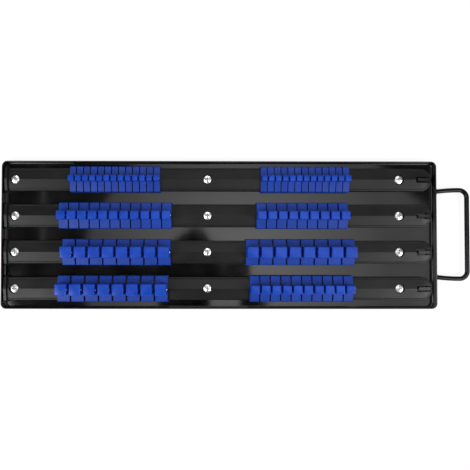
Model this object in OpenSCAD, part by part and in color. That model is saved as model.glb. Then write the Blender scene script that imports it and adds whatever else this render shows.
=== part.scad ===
// Socket organizer drawer box: a shallow sheet steel tray with a wire handle. Four moulded rails are
// screwed to its floor, and spring-ball clips for three drive sizes slide along them.
// The origin is the centre of the tray's underside, +X points to the handle and +Z up.

/* [Tray] */
// Outer length of the tray, without the handle
tray_l = 471.5; // [380:0.5:600]
// Outer width of the tray
tray_w = 160; // [133:1:200]
// Height of the upturned walls above the underside
tray_h = 10; // [9:0.5:20]
// Thickness of the sheet steel
sheet_t = 1.2; // [0.8:0.1:1.6]
// Inside radius of the bend between floor and wall
bend_r = 1; // [0.6:0.1:2]
// Radius of the tray's corners seen from above
corner_r = 6; // [4:0.5:12]
// Mean clear space from a side wall to the centre line of the outer row
row_edge = 19.4; // [17:0.05:24]
// How far the rows sit off the tray's middle, towards the smallest clips
row_shift = 1; // [-1.5:0.1:1.5]

/* [Rails] */
// Number of rails side by side
rail_rows = 4; // [1:1:4]
// Width over the flanges that the clips hook round
rail_w = 25; // [20:0.5:30]
// How far the flanges stand out beyond the foot on each side
flange_out = 2.8; // [2.2:0.1:4]
// Height of the foot under the flanges
foot_h = 2.8; // [2.4:0.1:5]
// Thickness of the rounded bead along each flange
bead_t = 1.8; // [1.4:0.1:2.4]
// Height of the ridge above the top of the beads
ridge_rise = 1.7; // [0.8:0.1:3]
// Moulded wall thickness of roof, foot and end
rail_wall = 1.8; // [1.2:0.1:2.4]
// Distance of the drip groove from the flange's edge
groove_in = 1.9; // [1.6:0.1:3]
// Radius of the drip groove
groove_r = 0.5; // [0.2:0.05:0.6]
// Gap from the left wall of the tray to the rail's square end
end_gap = 1.7; // [0.5:0.1:8]
// Thickness of the fixed stop at the square end
end_stop_t = 2.8; // [1.5:0.1:5]
// Height of the fixed stop above the ridge
end_stop_rise = 2.5; // [1:0.1:4]
// Gap from the tray's right wall to the tip of the rail's round nose
nose_gap = 2; // [0.5:0.1:4]

/* [Stop tongues] */
// Width of the slot that frees the tongue
slot_w = 6.5; // [5:0.1:9]
// Gap between the tongue and the sides of its slot
tongue_side = 1.6; // [0.3:0.05:1.8]
// Gap between the tongue's free end and the slot's end
tongue_tip = 1.7; // [0.6:0.1:2.5]
// Length of the tongue from its root to its free end
tongue_l = 13.2; // [9:0.1:15]
// Thickness of the tongue
tongue_t = 1.6; // [1.2:0.1:2.2]
// How far the free end stands proud of the ridge
tongue_proud = 0.9; // [0.5:0.1:1.5]
// Plastic left between the nose's tip and the slot
nose_wall = 2.7; // [2:0.1:5]

/* [Rail screws] */
// Radius of the screw's head
head_r = 4.4; // [3:0.1:5]
// Height of the screw's head
head_h = 2.3; // [1.6:0.1:3]
// Radius of the shank
shank_r = 1.95; // [1.4:0.05:2.5]
// Radial gap between the head and its pocket in the rail
pocket_gap = 0.8; // [0.3:0.1:1.5]
// Depth of the head's crown below the ridge
head_sink = 0.8; // [0.4:0.1:1.5]
// Distance of the first screw from the rail's square end
screw_first = 10.3; // [6:0.1:20]
// Distance of the last screw from the tip of the nose
screw_last = 36.3; // [28:0.1:60]
// Height of the pulled-up, tapped collar above the tray's floor
collar_h = 1.2; // [0.8:0.1:2]
// Wall thickness of the collar
collar_wall = 1.1; // [0.8:0.1:1.6]

/* [Handle] */
// Diameter of the handle's wire
wire_d = 5; // [4:0.25:8]
// Distance between the legs' centre lines at the grip
grip_cc = 96.7; // [70:0.1:120]
// How far each leg leans inwards by the time it reaches the wall
leg_lean = 1.8; // [0.4:0.1:4]
// Distance of the grip's centre line from the tray's end wall
handle_reach = 34.8; // [25:0.1:60]
// Radius of the wire's bends, on its centre line
wire_bend_r = 8.4; // [5:0.2:16]
// Height of the wire's centre line above the underside
handle_z = 5.5; // [4:0.1:12]
// How far the handle sits off the tray's middle, towards the smallest clips
handle_shift = 0.8; // [-2:0.1:2]
// Leg length of the weld fillet round each root
weld = 1.2; // [0.6:0.1:2]

/* [Clips: quarter, three-eighths and half inch drive] */
// Width of the square pegs
peg_w = [5.9, 9.1, 12.1]; // [5:0.05:15]
// Height of the pegs above the saddle's ridge
peg_h = [9.25, 11.25, 12.5]; // [6:0.25:18]
// Chamfer round the top of the pegs
peg_chamfer = [0.4, 0.55, 0.7]; // [0.2:0.05:1]
// Radius of the pegs' upright edges
peg_edge_r = [0.5, 0.7, 0.9]; // [0.2:0.05:1.5]
// Shoulder of the saddle beside the peg, along the rail
shoulder = [0.3, 0.35, 0.5]; // [0.2:0.05:1]
// Spacer at each end of the saddle's hooks, which keeps the clips apart
spacer = [0.42, 0.6, 0.78]; // [0.3:0.01:1.2]
// Thickness of the saddle's arms
arm_t = [1.3, 1.5, 1.5]; // [1:0.05:2]
// Thickness of the saddle over the rail's ridge
saddle_t = 2.4; // [1.6:0.1:3.5]
// Height of the spacers up from the hooks' undersides
spacer_h = 1.8; // [1:0.1:2.4]
// Gap between the hooks and the tray's floor
floor_gap = 0.8; // [0.4:0.1:1.4]
// How far the hooks reach in under the flanges
hook_in = 1.6; // [1:0.1:2]
// Gap between clip and rail on every side
clip_fit = 0.2; // [0.1:0.05:0.4]

/* [Ball detents: quarter, three-eighths and half inch drive] */
// Radius of the steel balls
ball_r = [1.05, 1.35, 1.6]; // [0.8:0.05:2]
// Depth of the balls' centres below the top of the pegs
ball_drop = [3, 4, 5.2]; // [2:0.1:7]
// Length of the springs behind the balls
spring_l = [1.6, 3, 4]; // [1.2:0.1:6]
// Radius of the spring wire
spring_wire_r = [0.16, 0.2, 0.24]; // [0.1:0.01:0.3]
// Number of coils in a spring
spring_coils = 4; // [3:1:6]
// Gap between a ball and its bore
ball_fit = 0.05; // [0.02:0.01:0.1]
// Thickness of the staked lip that keeps the ball in
lip_t = 0.15; // [0.1:0.05:0.4]
// How much smaller the lip's opening is than the ball, on the radius
lip_hold = 0.08; // [0.05:0.01:0.2]

/* [Clip sets: rows 1 to 4] */
// Drive size of the left sets: 0 quarter, 1 three-eighths, 2 half inch
left_drive = [0, 1, 2, 2]; // [0:1:2]
// Number of clips in the left sets
left_count = [13, 11, 8, 8]; // [2:1:13]
// Free rail between the fixed stop and the left sets
left_park = [67.3, 55.4, 59.5, 54.4]; // [1:0.1:90]
// Play between neighbouring clips of the left sets
left_play = [0.25, 0.19, 0.13, 0.42]; // [0.1:0.01:0.6]
// Drive size of the right sets
right_drive = [0, 1, 2, 1]; // [0:1:2]
// Number of clips in the right sets
right_count = [13, 9, 8, 10]; // [2:1:13]
// Free rail between the tongue's slot and the right sets
right_park = [73.4, 74.9, 67.5, 69.7]; // [1:0.1:90]
// Play between neighbouring clips of the right sets
right_play = [0.12, 0.14, 0.28, 0.29]; // [0.1:0.01:0.6]
// Least free rail between the two sets of a row, which move out to their ends to leave it
least_middle = 2; // [1:0.5:10]

/* [Hidden] */
$fn = 48;
steel_paint = [0.05, 0.05, 0.055];
rail_black = [0.14, 0.14, 0.145];
clip_blue = [0.12, 0.24, 0.68];
bright_steel = [0.82, 0.82, 0.84];

inner_x = tray_l / 2 - sheet_t;
rail_x0 = -inner_x + end_gap;
stop_face = rail_x0 + end_stop_t;
nose_tip = inner_x - nose_gap;
nose_x = nose_tip - rail_w / 2;
row_pitch = rail_rows > 1 ? (tray_w - 2 * sheet_t - 2 * row_edge) / (rail_rows - 1) : 0;
function row_y(row) = row_shift + ((rail_rows - 1) / 2 - row) * row_pitch;

// Foot and heights of the rails, from the tray's underside up
foot_w = rail_w - 2 * flange_out;
flange_z = sheet_t + foot_h;
bead_z = flange_z + bead_t;
ridge_z = bead_z + ridge_rise;
bead_r = bead_t / 2;
roof_slope = ridge_rise / (rail_w / 2 - bead_r);
function roof_z(y) = ridge_z - roof_slope * abs(y);

// Stop tongue: its slot ends at slot_x1 in the nose and at stop_x beside the clips
slot_x1 = nose_tip - nose_wall;
root_gap = 0.3;
tongue_root = slot_x1 - root_gap;
tongue_end = tongue_root - tongue_l;
stop_x = tongue_end - tongue_tip;
tongue_root_z = roof_z(tongue_root - nose_x);
tongue_end_z = ridge_z + tongue_proud;

screw_x = [
    rail_x0 + screw_first,
    (rail_x0 + screw_first + nose_tip - screw_last) / 2,
    nose_tip - screw_last
];
head_top = ridge_z - head_sink;
seat_z = head_top - head_h;
collar_r = shank_r + 0.05 + collar_wall;
collar_top = sheet_t + collar_h;

// Clip sizes that follow from the rail and the peg
function block_l(d) = peg_w[d] + 2 * shoulder[d];
function clip_l(d) = block_l(d) + 2 * spacer[d];
function arm_y(d) = rail_w / 2 + clip_fit + arm_t[d];
saddle_z = ridge_z + clip_fit + saddle_t;
function peg_top(d) = saddle_z + peg_h[d];

// The ball rests on its lip: ball_in is its centre's depth in the peg, and ball_out what stands proud
function lip_r(d) = ball_r[d] - lip_hold;
function ball_in(d) = lip_t + sqrt(pow(ball_r[d] + 0.03, 2) - pow(lip_r(d), 2));
function ball_out(d) = ball_r[d] - ball_in(d);
function coil_r(d) = ball_r[d] - 0.1 - spring_wire_r[d];
function spring_x(d) = ball_in(d) - spring_wire_r[d]
    + sqrt(pow(ball_r[d] + ball_fit + spring_wire_r[d], 2) - pow(coil_r(d), 2));

// How far both sets of a row move out where a short rail would leave no free middle
function set_l(d, count, play) = count * clip_l(d) + (count - 1) * play;
function sets_l(r) = set_l(left_drive[r], left_count[r], left_play[r])
    + set_l(right_drive[r], right_count[r], right_play[r]);
function crowding(r) =
    max(0, (left_park[r] + sets_l(r) + least_middle + right_park[r] - (stop_x - stop_face)) / 2);

// The eight sets: [name, row, drive, count, play, first clip's centre, step direction]
function left_set(r) = [str("row", r + 1, "_left"), r, left_drive[r], left_count[r], left_play[r],
    stop_face + left_park[r] - crowding(r) + clip_l(left_drive[r]) / 2, 1];
function right_set(r) = [str("row", r + 1, "_right"), r, right_drive[r], right_count[r], right_play[r],
    stop_x - right_park[r] + crowding(r) - clip_l(right_drive[r]) / 2, -1];
sets = [for (r = [0:rail_rows - 1]) for (s = [left_set(r), right_set(r)]) s];
function clip_x(s, i) = s[5] + s[6] * i * (clip_l(s[2]) + s[4]);

// Stands a shape drawn in width and height upright, and pulls it along X
module along_x(x0, x1) {
    translate([x0, 0, 0])
        rotate([90, 0, 90])
            linear_extrude(x1 - x0)
                children();
}

// Both halves of a shape that is drawn on its right half only
module both_sides() {
    children();
    mirror([1, 0])
        children();
}

// Right-hand half of the bent sheet: floor strip, bend and wall with a rounded rim
module sheet_bend() {
    bend_out = bend_r + sheet_t;
    square([corner_r - bend_out, sheet_t]);
    translate([corner_r - bend_out, bend_out])
        intersection() {
            difference() {
                circle(r = bend_out);
                circle(r = bend_r);
            }
            translate([0, -bend_out])
                square(bend_out);
        }
    translate([corner_r - sheet_t, bend_out])
        square([sheet_t, tray_h - bend_out - sheet_t / 2]);
    translate([corner_r - sheet_t / 2, tray_h - sheet_t / 2])
        circle(r = sheet_t / 2);
}

module tray() {
    cx = tray_l / 2 - corner_r;
    cy = tray_w / 2 - corner_r;
    color(steel_paint)
        difference() {
            union() {
                translate([-cx, -cy, 0])
                    cube([2 * cx, 2 * cy, sheet_t]);
                for (end = [0, 1]) {
                    rotate([0, 0, 180 * end])
                        translate([0, cy, 0])
                            rotate([90, 0, 90])
                                translate([0, 0, -cx])
                                    linear_extrude(2 * cx)
                                        sheet_bend();
                    rotate([0, 0, 180 * end])
                        translate([cx, cy, 0])
                            rotate([90, 0, 0])
                                linear_extrude(2 * cy)
                                    sheet_bend();
                    for (side = [0, 1])
                        rotate([0, 0, 180 * end])
                            translate([side ? cx : -cx, cy, 0])
                                rotate([0, 0, side ? 0 : 90])
                                    rotate_extrude(angle = 90)
                                        sheet_bend();
                }
                for (r = [0:rail_rows - 1])
                    for (x = screw_x)
                        translate([x, row_y(r), 0])
                            cylinder(r = collar_r, h = collar_top);
            }
            for (r = [0:rail_rows - 1])
                for (x = screw_x)
                    translate([x, row_y(r), -1])
                        cylinder(r = shank_r + 0.05, h = collar_top + 2);
        }
}

// One side of the handle: its corner bend, and the leg that bows inwards to its weld on the wall
module handle_leg() {
    straight = handle_reach - wire_bend_r;
    bow_r = round(10 * (pow(straight, 2) + pow(leg_lean, 2)) / (2 * leg_lean)) / 10;
    translate([straight, grip_cc / 2 - wire_bend_r, 0])
        difference() {
            union() {
                rotate_extrude(angle = 90)
                    translate([wire_bend_r, 0])
                        circle(d = wire_d);
                translate([0, wire_bend_r - bow_r, 0])
                    rotate([0, 0, 90])
                        rotate_extrude(angle = asin(handle_reach / bow_r))
                            translate([bow_r, 0])
                                circle(d = wire_d);
                translate([-straight, wire_bend_r - leg_lean, 0])
                    rotate([0, 90, 0])
                        cylinder(r1 = wire_d / 2 + weld, r2 = wire_d / 2 - 0.5, h = 2 * weld);
            }
            translate([-2 * handle_reach - straight, -wire_bend_r, -2 * wire_d])
                cube([2 * handle_reach, grip_cc, 4 * wire_d]);
        }
}

module handle() {
    grip = grip_cc - 2 * wire_bend_r;
    color(steel_paint)
        translate([tray_l / 2, handle_shift, handle_z]) {
            handle_leg();
            mirror([0, 1, 0])
                handle_leg();
            translate([handle_reach, -grip / 2, 0])
                rotate([-90, 0, 0])
                    cylinder(d = wire_d, h = grip);
        }
}

// Half of the rail's section: roof, beaded flange, undercut and foot
module rail_half() {
    difference() {
        union() {
            polygon([
                [0, sheet_t],
                [foot_w / 2, sheet_t],
                [foot_w / 2, flange_z],
                [rail_w / 2 - bead_r, flange_z],
                [rail_w / 2 - bead_r, bead_z],
                [0, ridge_z]
            ]);
            translate([rail_w / 2 - bead_r, flange_z + bead_r])
                circle(r = bead_r);
        }
        translate([rail_w / 2 - groove_in, roof_z(rail_w / 2 - groove_in)])
            circle(r = groove_r);
    }
}

// Half of the hollow under the roof, which the mould's core leaves
module hollow_half() {
    half = foot_w / 2 - rail_wall;
    polygon([
        [0, sheet_t - 1],
        [half, sheet_t - 1],
        [half, roof_z(half) - rail_wall],
        [0, ridge_z - rail_wall]
    ]);
}

// Half of the fixed stop's outline, which is as wide as the clips
module end_stop_half() {
    y = arm_y(1);
    edge = 1.6;
    polygon([
        [0, sheet_t],
        [y, sheet_t],
        [y, roof_z(y) + end_stop_rise - edge],
        [y - edge, roof_z(y - edge) + end_stop_rise],
        [0, ridge_z + end_stop_rise]
    ]);
}

module rail(r) {
    color(rail_black)
        translate([0, row_y(r), 0])
            difference() {
                union() {
                    difference() {
                        union() {
                            along_x(rail_x0, nose_x)
                                both_sides()
                                    rail_half();
                            along_x(rail_x0, stop_face)
                                both_sides()
                                    end_stop_half();
                            translate([nose_x, 0, 0])
                                rotate([0, 0, -90])
                                    rotate_extrude(angle = 180)
                                        rail_half();
                        }
                        along_x(rail_x0 + rail_wall, nose_x)
                            both_sides()
                                hollow_half();
                        translate([nose_x, 0, 0])
                            rotate([0, 0, -90])
                                rotate_extrude(angle = 180)
                                    hollow_half();
                    }
                    for (x = screw_x)
                        translate([x, 0, sheet_t])
                            cylinder(r = head_r + pocket_gap + rail_wall / 2, h = ridge_z - 0.8 * rail_wall - sheet_t);
                }
                for (x = screw_x)
                    translate([x, 0, 0]) {
                        translate([0, 0, seat_z])
                            cylinder(r = head_r + pocket_gap, h = ridge_z);
                        cylinder(r = shank_r + 0.2, h = ridge_z);
                        cylinder(r = collar_r + 0.1, h = collar_top + 0.1);
                    }
                translate([stop_x, -slot_w / 2, flange_z])
                    cube([slot_x1 - stop_x, slot_w, ridge_z]);
            }
}

// Sprung ramp in the nose: clips pass over it from the nose and then can't slide back
module stop_tongue(r) {
    half = slot_w / 2 - tongue_side;
    color(rail_black)
        translate([0, row_y(r) + half, 0])
            rotate([90, 0, 0])
                linear_extrude(2 * half)
                    polygon([
                        [tongue_root, tongue_root_z - tongue_t],
                        [tongue_root, tongue_root_z],
                        [tongue_end + 0.6, tongue_end_z],
                        [tongue_end, tongue_end_z - 0.4],
                        [tongue_end, tongue_end_z - tongue_t]
                    ]);
}

// Pan head screw with a cross recess, its head's underside at z = 0
module rail_screw() {
    recess = head_r * 0.55;
    recess_w = head_r * 0.24;
    dome_r = (pow(head_r, 2) + pow(head_h / 2, 2)) / head_h;
    difference() {
        union() {
            intersection() {
                cylinder(r = head_r, h = head_h);
                translate([0, 0, head_h - dome_r])
                    sphere(r = dome_r);
            }
            translate([0, 0, 0.2 - seat_z])
                cylinder(r = shank_r, h = seat_z);
        }
        for (turn = [0, 90])
            rotate([0, 0, turn])
                translate([-recess, -recess_w / 2, head_h * 0.45])
                    cube([2 * recess, recess_w, head_h]);
        translate([0, 0, head_h * 0.45])
            cylinder(r1 = recess_w * 0.7, r2 = recess_w * 1.3, h = head_h);
    }
}

module rail_screws() {
    color(bright_steel)
        for (r = [0:rail_rows - 1])
            for (x = screw_x)
                translate([x, row_y(r), seat_z])
                    rail_screw();
}

// Half of the saddle's section: roof, arm and the hook under the flange
module saddle_half(d) {
    y_in = rail_w / 2 + clip_fit;
    y_out = arm_y(d);
    edge_r = 0.8;
    top = roof_z(y_out) + clip_fit + saddle_t;
    under = flange_z - clip_fit;
    difference() {
        polygon([
            [0, sheet_t + floor_gap],
            [y_out, sheet_t + floor_gap],
            [y_out, top - edge_r],
            [y_out - edge_r, roof_z(y_out - edge_r) + clip_fit + saddle_t],
            [0, saddle_z]
        ]);
        polygon([
            [-1, 0],
            [y_in - hook_in, 0],
            [y_in - hook_in, under],
            [y_in, under],
            [y_in, bead_z + clip_fit],
            [rail_w / 2 - bead_r, bead_z + clip_fit],
            [0, ridge_z + clip_fit],
            [-1, ridge_z + clip_fit]
        ]);
    }
}

// Half of the two spacer feet: the low part of the hook, which carries on at both ends of the saddle
module spacer_half(d) {
    y_in = rail_w / 2 + clip_fit;
    translate([y_in, sheet_t + floor_gap])
        square([arm_t[d], spacer_h]);
}

// Square peg with a chamfered top and rounded upright edges
module peg(d) {
    w = peg_w[d];
    c = peg_chamfer[d];
    e = peg_edge_r[d];
    z0 = ridge_z + clip_fit + saddle_t / 3;
    side = [[-w / 2, z0], [w / 2, z0], [w / 2, peg_top(d) - c],
        [w / 2 - c, peg_top(d)], [c - w / 2, peg_top(d)], [-w / 2, peg_top(d) - c]];
    intersection() {
        along_x(-w / 2, w / 2)
            polygon(side);
        rotate([0, 0, 90])
            along_x(-w / 2, w / 2)
                polygon(side);
        translate([0, 0, z0])
            linear_extrude(peg_top(d) - z0)
                union() {
                    square([w - 2 * e, w], center = true);
                    square([w, w - 2 * e], center = true);
                    for (x = [-1, 1])
                        for (y = [-1, 1])
                            translate([x * (w / 2 - e), y * (w / 2 - e)])
                                circle(r = e);
                }
    }
}

// Places a shape drawn along +X, from the peg's face inwards, at the ball's height
module at_ball(d) {
    translate([peg_w[d] / 2, 0, peg_top(d) - ball_drop[d]])
        rotate([0, -90, 0])
            children();
}

module clip(d) {
    difference() {
        union() {
            along_x(-block_l(d) / 2, block_l(d) / 2)
                both_sides()
                    saddle_half(d);
            along_x(-clip_l(d) / 2, clip_l(d) / 2)
                both_sides()
                    spacer_half(d);
            peg(d);
        }
        at_ball(d) {
            translate([0, 0, -1])
                cylinder(r = lip_r(d), h = 2);
            translate([0, 0, lip_t])
                cylinder(r = ball_r[d] + ball_fit, h = spring_x(d) + spring_l[d] - lip_t);
        }
    }
}

module ball(d) {
    at_ball(d)
        translate([0, 0, ball_in(d)])
            sphere(r = ball_r[d]);
}

// Compression spring as a sleeve with one ring for each coil
module spring(d) {
    wire = spring_wire_r[d];
    step = (spring_l[d] - 2 * wire) / (spring_coils - 1);
    at_ball(d)
        translate([0, 0, spring_x(d)])
            rotate_extrude()
                translate([coil_r(d), wire])
                    union() {
                        for (i = [0:spring_coils - 1])
                            translate([0, i * step])
                                circle(r = wire, $fn = 6);
                        translate([-wire / 3, 0])
                            square([wire * 2 / 3, spring_l[d] - 2 * wire]);
                    }
}

// Repeats a piece for clips number first to last of a set, counted from its outer end
module for_clips(s, first, last) {
    for (i = [first:last])
        translate([clip_x(s, i), row_y(s[1]), 0])
            children();
}

tray();
handle();
for (r = [0:rail_rows - 1]) {
    rail(r);
    stop_tongue(r);
}
rail_screws();
for (s = sets) {
    color(clip_blue) for_clips(s, 0, s[3] - 2) clip(s[2]);
    color(bright_steel) for_clips(s, 0, s[3] - 2) ball(s[2]);
    color(bright_steel) for_clips(s, 0, s[3] - 2) spring(s[2]);
    color(clip_blue) for_clips(s, s[3] - 1, s[3] - 1) clip(s[2]);
    color(bright_steel) for_clips(s, s[3] - 1, s[3] - 1) ball(s[2]);
    color(bright_steel) for_clips(s, s[3] - 1, s[3] - 1) spring(s[2]);
}
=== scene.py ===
import math
import random

import bmesh
import bpy
from mathutils import Matrix, Vector


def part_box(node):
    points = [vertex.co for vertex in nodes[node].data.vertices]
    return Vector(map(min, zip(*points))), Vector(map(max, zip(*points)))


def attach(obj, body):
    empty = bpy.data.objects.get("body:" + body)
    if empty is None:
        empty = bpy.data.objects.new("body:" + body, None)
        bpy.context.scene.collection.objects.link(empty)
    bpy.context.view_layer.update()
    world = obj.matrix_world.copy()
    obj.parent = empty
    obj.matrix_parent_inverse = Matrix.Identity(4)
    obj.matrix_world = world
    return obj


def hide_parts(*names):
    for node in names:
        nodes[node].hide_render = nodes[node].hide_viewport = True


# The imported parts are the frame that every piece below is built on. All sizes are in metres,
# with +X along the tray to its handle, +Y across it to the row of smallest clips, and +Z up.
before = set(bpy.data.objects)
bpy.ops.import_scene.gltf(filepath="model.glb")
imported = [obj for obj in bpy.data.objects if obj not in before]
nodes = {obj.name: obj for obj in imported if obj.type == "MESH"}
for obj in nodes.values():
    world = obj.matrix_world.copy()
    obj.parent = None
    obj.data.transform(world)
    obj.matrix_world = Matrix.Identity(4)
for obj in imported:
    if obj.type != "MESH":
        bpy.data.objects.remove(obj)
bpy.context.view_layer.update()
scene = bpy.context.scene
MM = 0.001


# ---- Camera -------------------------------------------------------------------------------------
# It looks almost straight down on the tray, from a little over half a metre and left of its middle.
# Place, turn, lens and shift put the tray's edges, its screws and its clips where they are seen.
camera_data = bpy.data.cameras.new("camera")
camera_data.lens = 38.77
camera_data.shift_x = 0.0555
camera_data.shift_y = -0.0128
camera = bpy.data.objects.new("camera", camera_data)
camera.location = (-0.0153, -0.0065, 0.557)
camera.rotation_euler = (0.0233, -0.0068, 0.0011)
scene.collection.objects.link(camera)
scene.camera = camera
scene.view_settings.view_transform = "Standard"


# ---- Table and light ----------------------------------------------------------------------------
# A white table under a dim studio ceiling, with a softbox at the left and the right of the tray and
# a weaker one behind it. The table looks white to the camera and keeps a faint shadow.
class Shade:
    """A socket in a shader tree. Arithmetic on it adds Math nodes, and node() adds any other node."""

    def __init__(self, tree, socket=None):
        self.tree = tree
        self.socket = socket

    def node(self, kind, settings=None, sockets=None, outlet=0):
        """Adds a node, makes its settings, then gives its sockets their values or links."""
        made = self.tree.nodes.new(kind)
        for name, value in (settings or {}).items():
            setattr(made, name, value)
        for name, value in (sockets or {}).items():
            if isinstance(value, Shade):
                self.tree.links.new(value.socket, made.inputs[name])
            else:
                made.inputs[name].default_value = value
        return Shade(self.tree, made.outputs[outlet] if made.outputs else None)

    def math(self, operation, first, second=0.0):
        return self.node("ShaderNodeMath", {"operation": operation}, {0: first, 1: second})

    def __add__(self, other):
        return self.math("ADD", self, other)

    def __sub__(self, other):
        return self.math("SUBTRACT", self, other)

    def __mul__(self, other):
        return self.math("MULTIPLY", self, other)

    def __rsub__(self, other):
        return self.math("SUBTRACT", other, self)

    __radd__ = __add__
    __rmul__ = __mul__

    def between(self, low, high):
        """0 where this value is below low, 1 where it is above high, and a straight ramp between."""
        return self.node("ShaderNodeMapRange", None, {"Value": self, "From Min": low, "From Max": high})

    def colour(self, at_zero, at_one):
        """The colour that lies this far between two."""
        return self.node("ShaderNodeMix", {"data_type": "RGBA"}, {0: self, 6: at_zero, 7: at_one}, 2)


def grey(brightness):
    """A colour without hue."""
    return (brightness, brightness, brightness, 1)


def new_material(name):
    """An empty material, and the Shade that its nodes start from."""
    material = bpy.data.materials.new(name)
    material.use_nodes = True
    material.node_tree.nodes.clear()
    return material, Shade(material.node_tree)


def new_piece(name, shape, material):
    """Turns a bmesh into an object at the origin, with one material."""
    mesh = bpy.data.meshes.new(name)
    shape.to_mesh(mesh)
    shape.free()
    mesh.materials.append(material)
    piece = bpy.data.objects.new(name, mesh)
    scene.collection.objects.link(piece)
    return piece


TABLE_SIDE = 4.0
TABLE_GAP = 0.1 * MM
TABLE_GLOW = 1.05
GLOW_SHARE = 0.85
GLOSSY_SHARE = 0.4
table_shape = bmesh.new()
bmesh.ops.create_grid(table_shape, x_segments=1, y_segments=1, size=TABLE_SIDE / 2)
bmesh.ops.translate(table_shape, vec=(0, 0, -TABLE_GAP), verts=table_shape.verts)
table_white, start = new_material("table_white")
seen = start.node("ShaderNodeLightPath", outlet="Is Camera Ray")
for ray, share in (("Is Glossy Ray", GLOSSY_SHARE), ("Is Transmission Ray", 1.0)):
    seen = seen + start.node("ShaderNodeLightPath", outlet=ray) * share
lit = start.node("ShaderNodeBsdfDiffuse", None, {"Color": grey(0.8)})
glow = start.node("ShaderNodeEmission", None, {"Color": grey(1), "Strength": TABLE_GLOW})
glowing = seen.between(0, 1) * GLOW_SHARE
surface = start.node("ShaderNodeMixShader", None, {0: glowing, 1: lit, 2: glow})
start.node("ShaderNodeOutputMaterial", None, {"Surface": surface})
new_piece("table", table_shape, table_white)

# The sky is white to the camera. It lights the tray in a grey that fades from the horizon upwards.
HORIZON, ZENITH = 0.48, 0.05
FADE_END = 0.85
world = bpy.data.worlds.new("studio")
world.use_nodes = True
world.node_tree.nodes.clear()
scene.world = world
start = Shade(world.node_tree)
direction = start.node("ShaderNodeTexCoord", outlet="Generated")
climb = start.node("ShaderNodeSeparateXYZ", None, {0: direction}, "Z").between(0, FADE_END)
sky = climb.colour(grey(HORIZON), grey(ZENITH))
sky = start.node("ShaderNodeLightPath", outlet="Is Camera Ray").colour(sky, grey(1))
backdrop = start.node("ShaderNodeBackground", None, {"Color": sky})
start.node("ShaderNodeOutputWorld", None, {"Surface": backdrop})


def softbox(name, at, width, height, watts):
    """A soft rectangular lamp that faces the middle of the tray."""
    lamp_data = bpy.data.lights.new(name, "AREA")
    lamp_data.shape = "RECTANGLE"
    lamp_data.size = width
    lamp_data.size_y = height
    lamp_data.energy = watts
    lamp = bpy.data.objects.new(name, lamp_data)
    lamp.location = at
    lamp.rotation_euler = (-Vector(at)).to_track_quat("-Z", "Y").to_euler()
    scene.collection.objects.link(lamp)


softbox("softbox_left", at=(-0.7, -0.36, 0.75), width=0.7, height=0.5, watts=8.5)
softbox("softbox_right", at=(0.78, -0.36, 0.75), width=0.7, height=0.5, watts=8.5)
softbox("softbox_back", at=(0.0, 0.8, 0.8), width=1.0, height=0.4, watts=3.5)

# Above the camera hangs a white card, which the glossy floor of the tray and the tops of the pegs
# mirror, with the dark camera, its boom and its stand in front. Nothing else sees them or is lit by
# them. Their outlines are given where they are mirrored in the tray's floor, in millimetres.
CARD_Z = 0.64
SHADE_Z = CARD_Z - 0.01
CARD_OUTLINE = [(-87, 86), (-91, 81), (-122, 41), (-145, 0), (-144, -84),
                (240, -84), (300, -19), (241, 22), (214, 41), (170, 82), (166, 86)]
CAMERA_OUTLINE = [(-56, -25), (-54, -9), (-30, 9), (-20, 9), (-8, -9), (-8, -25)]
BOOM_OUTLINE = [(-260, -25), (-260, -55), (34, -55), (34, -25)]
STAND_OUTLINES = [[(-67, -55), (-67, -90), (-10, -90), (-10, -55)],
                  [(22, -55), (22, -90), (52, -90), (52, -55)]]
HOT_SPOT = (0.030, -0.035)
HOT_SPOT_RADIUS = 0.34
CARD_GLOW, HOT_SPOT_GLOW = 1.0, 1.7
floor_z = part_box("rail_1")[0].z


def mirrored(x, y, height):
    """The point at a height that the camera sees mirrored at (x, y) of the tray's floor."""
    climb = (height - floor_z) / (camera.location.z - floor_z)
    return (x + climb * (x - camera.location.x), y + climb * (y - camera.location.y), height)


def hang(name, outline, height, material):
    """Hangs up a flat outline that only glossy rays meet."""
    shape = bmesh.new()
    rim = [shape.verts.new(mirrored(x * MM, y * MM, height)) for x, y in outline]
    shape.faces.new(rim)
    piece = new_piece(name, shape, material)
    piece.visible_camera = False
    piece.visible_diffuse = False
    piece.visible_transmission = False
    piece.visible_shadow = False


card_white, start = new_material("card_white")
place = start.node("ShaderNodeTexCoord", outlet="Object")
round_spot = start.node("ShaderNodeMapping", {"vector_type": "TEXTURE"}, {
    "Vector": place, "Location": mirrored(*HOT_SPOT, CARD_Z), "Scale": (HOT_SPOT_RADIUS,) * 3})
spot = start.node("ShaderNodeTexGradient", {"gradient_type": "SPHERICAL"}, {
    "Vector": round_spot}, "Fac")
card_glow = start.node("ShaderNodeEmission", None, {
    "Color": grey(1), "Strength": CARD_GLOW + HOT_SPOT_GLOW * spot})
start.node("ShaderNodeOutputMaterial", None, {"Surface": card_glow})
hang("card", CARD_OUTLINE, CARD_Z, card_white)

stand_black, start = new_material("stand_black")
stand_dark = start.node("ShaderNodeBsdfDiffuse", None, {"Color": grey(0.01)})
start.node("ShaderNodeOutputMaterial", None, {"Surface": stand_dark})
for name, outline in [("camera_shade", CAMERA_OUTLINE), ("boom_shade", BOOM_OUTLINE),
                      ("stand_shade_1", STAND_OUTLINES[0]), ("stand_shade_2", STAND_OUTLINES[1])]:
    hang(name, outline, SHADE_Z, stand_black)

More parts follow.
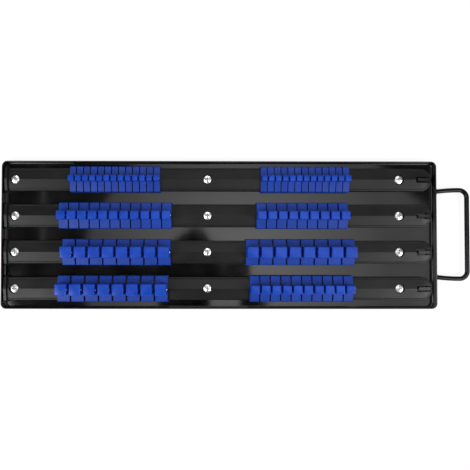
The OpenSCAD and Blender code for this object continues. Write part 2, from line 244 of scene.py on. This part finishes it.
# Left of the card a dim pole stands in the dark room, and the floor mirrors it as a faint line.
POLE_OUTLINE = [(-195, 75), (-195, -10), (-190, -45), (-187, -45), (-191.5, -10), (-191.5, 75)]
POLE_GLOW = 1.0
pole_dim, start = new_material("pole_dim")
pole_glow = start.node("ShaderNodeEmission", None, {"Color": grey(1), "Strength": POLE_GLOW})
start.node("ShaderNodeOutputMaterial", None, {"Surface": pole_glow})
hang("pole", POLE_OUTLINE, CARD_Z, pole_dim)


# ---- Tray ---------------------------------------------------------------------------------------
# One sheet of steel, folded up into four low walls and welded at the corners. It is dipped and
# baked glossy black, so its floor mirrors the room, with the faint orange peel of a thick enamel.
tray_low, tray_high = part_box("tray")

# The walls' inner faces, from above the fold to below the rim, get a rougher enamel and a painted
# reflection in a lighter grey, more so towards the handle and away from the smallest clips.
# Each pair is where one ramp starts and ends.
FOLD_RAMP = (2.0 * MM, 3.5 * MM)
RIM_RAMP = (tray_high.z - 0.7 * MM, tray_high.z - 0.2 * MM)
END_WALL_RAMP = (tray_high.x - 0.75 * MM, tray_high.x - 0.55 * MM)
LONG_WALL_RAMP = (tray_low.y + 0.5 * MM, tray_low.y + 0.7 * MM)
ALONG_RAMP = (40 * MM, 200 * MM)
ACROSS_RAMP = (0, 45 * MM)


def coat(name, base, roughness, specular, peel_depth):
    """Glossy black enamel: orange peel, smudges of dust, and a painted reflection on rougher walls by
    the handle.
    """
    material, start = new_material(name)
    place = start.node("ShaderNodeTexCoord", outlet="Object")
    peel = start.node("ShaderNodeTexNoise", None, {"Vector": place, "Scale": 420.0, "Detail": 1.5})
    smudge = start.node("ShaderNodeTexNoise", None, {"Vector": place, "Scale": 26.0, "Detail": 5.0})
    cell = start.node("ShaderNodeTexVoronoi", None, {"Vector": place, "Scale": 190.0}, "Distance")
    speck = 1 - cell.between(0.03, 0.06)
    x, y, z = [start.node("ShaderNodeSeparateXYZ", None, {0: place}, axis) for axis in "XYZ"]
    wall = z.between(*FOLD_RAMP) * (1 - z.between(*RIM_RAMP))
    inside = (1 - x.between(*END_WALL_RAMP)) * y.between(*LONG_WALL_RAMP)
    # rubbed is a painted reflection on the inner walls: a lighter grey base colour, and more roughness.
    rubbed = wall * inside * x.between(*ALONG_RAMP) * (1 - y.between(*ACROSS_RAMP))
    bump = start.node("ShaderNodeBump", None, {
        "Strength": 0.25, "Distance": peel_depth, "Height": peel})
    dusty = (smudge.between(0.35, 0.75) * 0.6 + speck * 0.2).colour(base, grey(0.012))
    shine = start.node("ShaderNodeBsdfPrincipled", None, {
        "Base Color": (rubbed * (smudge * 0.4 + 0.8)).colour(dusty, grey(0.07)),
        "Roughness": smudge.between(0.4, 0.7) * 0.05 + speck * 0.1 + rubbed * 0.25 + roughness,
        "IOR": 1.54,
        "Specular IOR Level": specular,
        "Normal": bump,
    })
    start.node("ShaderNodeOutputMaterial", None, {"Surface": shine})
    return material


def dress(node_name, material):
    """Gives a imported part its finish."""
    mesh = nodes[node_name].data
    mesh.materials.clear()
    mesh.materials.append(material)


tray_paint = coat("tray_paint", base=(0.0022, 0.0022, 0.0024, 1), roughness=0.07, specular=0.5,
                  peel_depth=0.012 * MM)
dress("tray", tray_paint)


# ---- Handle -------------------------------------------------------------------------------------
# A U of round wire, bent round two corners, butted to the end wall and welded all round. The welds
# are small rippled beads under the same black enamel as the tray's.
handle_paint = coat("handle_paint", base=(0.003, 0.003, 0.0032, 1), roughness=0.1, specular=0.14,
                    peel_depth=0.008 * MM)
dress("handle", handle_paint)


def corners(verts):
    """The lowest and the highest corner of the box round some vertices."""
    points = [vert.co for vert in verts]
    return Vector(map(min, *points)), Vector(map(max, *points))


# A bead's middle runs round the wire's root, a little inside its skin and a little off the wall.
BEAD_RADIUS = 0.9 * MM
RIPPLES = 17
RIPPLE_DEPTH = 0.12
BEAD_STEPS = 6 * RIPPLES
BEAD_IN = 0.35 * MM
BEAD_OFF = 0.3 * MM
beads = bmesh.new()
for side in (1, -1):
    root = [vert for vert in nodes["handle"].data.vertices
            if vert.co.x < tray_high.x + 0.01 * MM and vert.co.y * side > 0]
    low, high = corners(root)
    middle = (low + high) / 2
    reach = max((vert.co - middle).length for vert in root) - BEAD_IN
    ring = bmesh.ops.create_circle(beads, segments=10, radius=BEAD_RADIUS)["verts"]
    bmesh.ops.translate(beads, verts=ring, vec=middle + Vector((BEAD_OFF, reach, 0)))
    edges = list({edge for vert in ring for edge in vert.link_edges})
    bmesh.ops.spin(beads, geom=ring + edges, cent=middle, axis=(1, 0, 0), angle=math.tau,
                   steps=BEAD_STEPS, use_merge=True)
    for vert in beads.verts:
        if vert.co.y * side > 0:
            spoke = Vector((0, vert.co.y - middle.y, vert.co.z - middle.z))
            hub = middle + spoke.normalized() * reach + Vector((BEAD_OFF, 0, 0))
            ripple = math.cos(RIPPLES * math.atan2(spoke.z, spoke.y))
            vert.co = hub + (vert.co - hub) * (1 - RIPPLE_DEPTH + RIPPLE_DEPTH * ripple)
bmesh.ops.remove_doubles(beads, verts=beads.verts, dist=0.001 * MM)
bmesh.ops.recalc_face_normals(beads, faces=beads.faces)
for face in beads.faces:
    face.smooth = True
handle_welds = new_piece("handle_welds", beads, handle_paint)
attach(handle_welds, "tray")


# ---- Rails and stop tongues ---------------------------------------------------------------------
# Four satin black mouldings, each with a shallow roof, a drip groove and a beaded flange along both
# sides, and a sprung tongue in its nose. Sliding clips have rubbed faint lines along their roofs.
DEEP_BLACK = (0.004, 0.004, 0.0043, 1)
WORN_BLACK = (0.010, 0.010, 0.0108, 1)


def rail_finish():
    """Moulded plastic: a fine grain, slow flow marks, and rubbed lines stretched along X."""
    material, start = new_material("rail_plastic")
    place = start.node("ShaderNodeTexCoord", outlet="Object")
    along = start.node("ShaderNodeMapping", None, {"Vector": place, "Scale": (6.0, 900.0, 900.0)})
    rubbed = start.node("ShaderNodeTexNoise", None, {"Vector": along, "Scale": 1.0, "Detail": 3.0})
    grain = start.node("ShaderNodeTexNoise", None, {"Vector": place, "Scale": 2600.0, "Detail": 1.0})
    flow = start.node("ShaderNodeTexNoise", None, {"Vector": place, "Scale": 45.0, "Detail": 4.0})
    bump = start.node("ShaderNodeBump", None, {
        "Strength": 0.35, "Distance": 0.02 * MM, "Height": grain * 0.5 + rubbed * 0.35 + flow * 0.5})
    shine = start.node("ShaderNodeBsdfPrincipled", None, {
        "Base Color": (rubbed * 0.5 + flow * 0.5).colour(DEEP_BLACK, WORN_BLACK),
        "Roughness": 0.3 + flow.between(0.3, 0.7) * 0.1 + rubbed.between(0.45, 0.75) * 0.08,
        "IOR": 1.5,
        "Specular IOR Level": 0.26,
        "Normal": bump,
    })
    start.node("ShaderNodeOutputMaterial", None, {"Surface": shine})
    return material


rail_plastic = rail_finish()
for row in range(1, 5):
    dress(f"rail_{row}", rail_plastic)
    dress(f"stop_tongue_{row}", rail_plastic)


# ---- Rail screws --------------------------------------------------------------------------------
# Twelve bright zinc pan heads with a cross recess, three down each rail. Each was driven home by
# hand, so every cross has stopped at its own angle.
BLUISH_ZINC = (0.82, 0.83, 0.85, 1)
WARM_ZINC = (0.93, 0.92, 0.9, 1)
MOST_TURN = 0.2
RECESS_RADIUS = 2.6 * MM
RECESS_TOP, RECESS_FLOOR = 1.0 * MM, 1.4 * MM


def zinc_finish():
    """Bright zinc, rougher where the attribute says that the recess is, and darkened there as painted
    shade.
    """
    material, start = new_material("screw_steel")
    place = start.node("ShaderNodeTexCoord", outlet="Object")
    drawn = start.node("ShaderNodeTexNoise", None, {"Vector": place, "Scale": 1500.0, "Detail": 3.0})
    cloud = start.node("ShaderNodeTexNoise", None, {"Vector": place, "Scale": 260.0, "Detail": 2.0})
    bump = start.node("ShaderNodeBump", None, {
        "Strength": 0.2, "Distance": 0.01 * MM, "Height": drawn})
    bright = cloud.between(0.3, 0.7).colour(BLUISH_ZINC, WARM_ZINC)
    # The recess attribute carries painted shade: the cross recess is drawn in a dark grey.
    recess = start.node("ShaderNodeAttribute", {"attribute_name": "recess"}, None, "Fac")
    shine = start.node("ShaderNodeBsdfPrincipled", None, {
        "Base Color": recess.colour(bright, grey(0.3)),
        "Metallic": 1.0,
        "Roughness": 0.26 + drawn * 0.14 + recess * 0.3,
        "Normal": bump,
    })
    start.node("ShaderNodeOutputMaterial", None, {"Surface": shine})
    return material


def merged_copy(node_name):
    """A bmesh of a CAD node with its loose triangles merged, and flat faces made whole."""
    shape = bmesh.new()
    shape.from_mesh(nodes[node_name].data)
    bmesh.ops.remove_doubles(shape, verts=shape.verts, dist=0.002 * MM)
    bmesh.ops.dissolve_limit(shape, angle_limit=math.radians(0.4), verts=shape.verts,
                             edges=shape.edges)
    return shape


def islands(shape):
    """The lists of vertices of a bmesh's separate solids, in order from -X to +X."""
    left = set(shape.verts)
    found = []
    while left:
        island, reached = [], [left.pop()]
        while reached:
            vert = reached.pop()
            island.append(vert)
            for edge in vert.link_edges:
                other = edge.other_vert(vert)
                if other in left:
                    left.remove(other)
                    reached.append(other)
        found.append(island)
    return sorted(found, key=lambda verts: (min(v.co.x for v in verts), min(v.co.y for v in verts)))


CRISP_ANGLE = math.radians(25)
SMOOTH_ANGLE = math.radians(15)


def soften(shape, radius, shortest):
    """Rounds the crisp edges over a least length, and shades curved stretches smooth."""
    crisp = [edge for edge in shape.edges if edge.is_manifold and edge.calc_length() > shortest
             and edge.calc_face_angle() > CRISP_ANGLE]
    bmesh.ops.bevel(shape, geom=crisp, offset=radius, offset_type="OFFSET", affect="EDGES",
                    segments=2, profile=0.5, material=-1, clamp_overlap=True)
    for face in shape.faces:
        face.smooth = True
    for edge in shape.edges:
        edge.smooth = not edge.is_manifold or edge.calc_face_angle() < SMOOTH_ANGLE


chance = random.Random(12)
screws = merged_copy("rail_screws")
for island in islands(screws):
    low, high = corners(island)
    turn = Matrix.Rotation(chance.uniform(-MOST_TURN, MOST_TURN), 3, "Z")
    bmesh.ops.rotate(screws, cent=(low + high) / 2, matrix=turn, verts=island)
soften(screws, radius=0.1 * MM, shortest=0.5 * MM)
# Marks the cross recess, where painted shade darkens the zinc.
recess_shade_layer = screws.verts.layers.float.new("recess")
for island in islands(screws):
    low, high = corners(island)
    for vert in island:
        out = (vert.co - (low + high) / 2).to_2d().length
        deep = high.z - RECESS_FLOOR < vert.co.z < high.z - RECESS_TOP
        vert[recess_shade_layer] = out < RECESS_RADIUS and deep
screw_heads = new_piece("screws", screws, zinc_finish())
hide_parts("rail_screws")
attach(screw_heads, "tray")


# ---- Clips --------------------------------------------------------------------------------------
# Eighty saddles of blue plastic, hooked round the rails, each with a square peg for one drive size.
# They are moulded, so all their edges are slightly rounded, and no two are quite the same blue.
# One plastic: the saddles' blues are darker as painted shade, the pegs' blues lighter as painted light.
SHADED_SADDLE_BLUES = (0.001, 0.029, 0.25, 1), (0.004, 0.044, 0.33, 1)
LIT_PEG_BLUES = (0.003, 0.038, 0.33, 1), (0.008, 0.058, 0.42, 1)
peg_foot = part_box("rail_1")[1].z
PEG_RAMP = (peg_foot, peg_foot + 0.4 * MM)


def clip_finish():
    """Moulded plastic in a tone of each clip's own, glossier on the peg, with painted light and shade.
    """
    material, start = new_material("clip_plastic")
    place = start.node("ShaderNodeTexCoord", outlet="Object")
    tone = start.node("ShaderNodeAttribute", {"attribute_name": "clip_tone"}, None, "Fac")
    grain = start.node("ShaderNodeTexNoise", None, {"Vector": place, "Scale": 2400.0, "Detail": 2.0})
    flow = start.node("ShaderNodeTexNoise", None, {"Vector": place, "Scale": 160.0, "Detail": 3.0})
    bump = start.node("ShaderNodeBump", None, {
        "Strength": 0.3, "Distance": 0.03 * MM, "Height": grain * 0.4 + flow})
    # Painted light and shade: above the peg's foot the lighter peg blue is used, below it the darker
    # saddle blue.
    peg = start.node("ShaderNodeSeparateXYZ", None, {0: place}, "Z").between(*PEG_RAMP)
    blend = tone * 0.6 + flow * 0.4
    shaded_saddle_blue = blend.colour(*SHADED_SADDLE_BLUES)
    lit_peg_blue = blend.colour(*LIT_PEG_BLUES)
    shine = start.node("ShaderNodeBsdfPrincipled", None, {
        "Base Color": peg.colour(shaded_saddle_blue, lit_peg_blue),
        "Roughness": 0.4 + flow.between(0.35, 0.7) * 0.12 - peg * 0.18,
        "IOR": 1.5,
        "Specular IOR Level": 0.29,
        "Normal": bump,
    })
    start.node("ShaderNodeOutputMaterial", None, {"Surface": shine})
    return material


clip_plastic = clip_finish()
SETS = [f"row{row}_{side}" for row in range(1, 5) for side in ("left", "right")]
for set_name in SETS:
    for part in ("clips", "lead_clip"):
        clips = merged_copy(f"{set_name}_{part}")
        soften(clips, radius=0.14 * MM, shortest=0.6 * MM)
        tone_layer = clips.verts.layers.float.new("clip_tone")
        for island in islands(clips):
            tone = chance.random()
            for vert in island:
                vert[tone_layer] = tone
        piece = new_piece(f"{set_name}_{part}_moulded", clips, clip_plastic)
        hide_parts(f"{set_name}_{part}")
        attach(piece, f"{set_name}_{part}")


# ---- Ball detents -------------------------------------------------------------------------------
# A polished steel ball in the face of each peg that looks to the handle, staked in, with a small
# compression spring behind it in its bore.
def steel_finish(name, shade, roughness):
    """Bare steel, polished to a shade of grey."""
    material, start = new_material(name)
    place = start.node("ShaderNodeTexCoord", outlet="Object")
    polish = start.node("ShaderNodeTexNoise", None, {"Vector": place, "Scale": 3000.0, "Detail": 2.0})
    shine = start.node("ShaderNodeBsdfPrincipled", None, {
        "Base Color": polish.colour(grey(shade * 0.92), grey(shade)),
        "Metallic": 1.0,
        "Roughness": roughness + polish * 0.06,
    })
    start.node("ShaderNodeOutputMaterial", None, {"Surface": shine})
    return material


ball_steel = steel_finish("ball_steel", shade=0.86, roughness=0.06)
spring_steel = steel_finish("spring_steel", shade=0.6, roughness=0.2)
for set_name in SETS:
    for part, material in [("balls", ball_steel), ("lead_ball", ball_steel),
                           ("springs", spring_steel), ("lead_spring", spring_steel)]:
        dress(f"{set_name}_{part}", material)
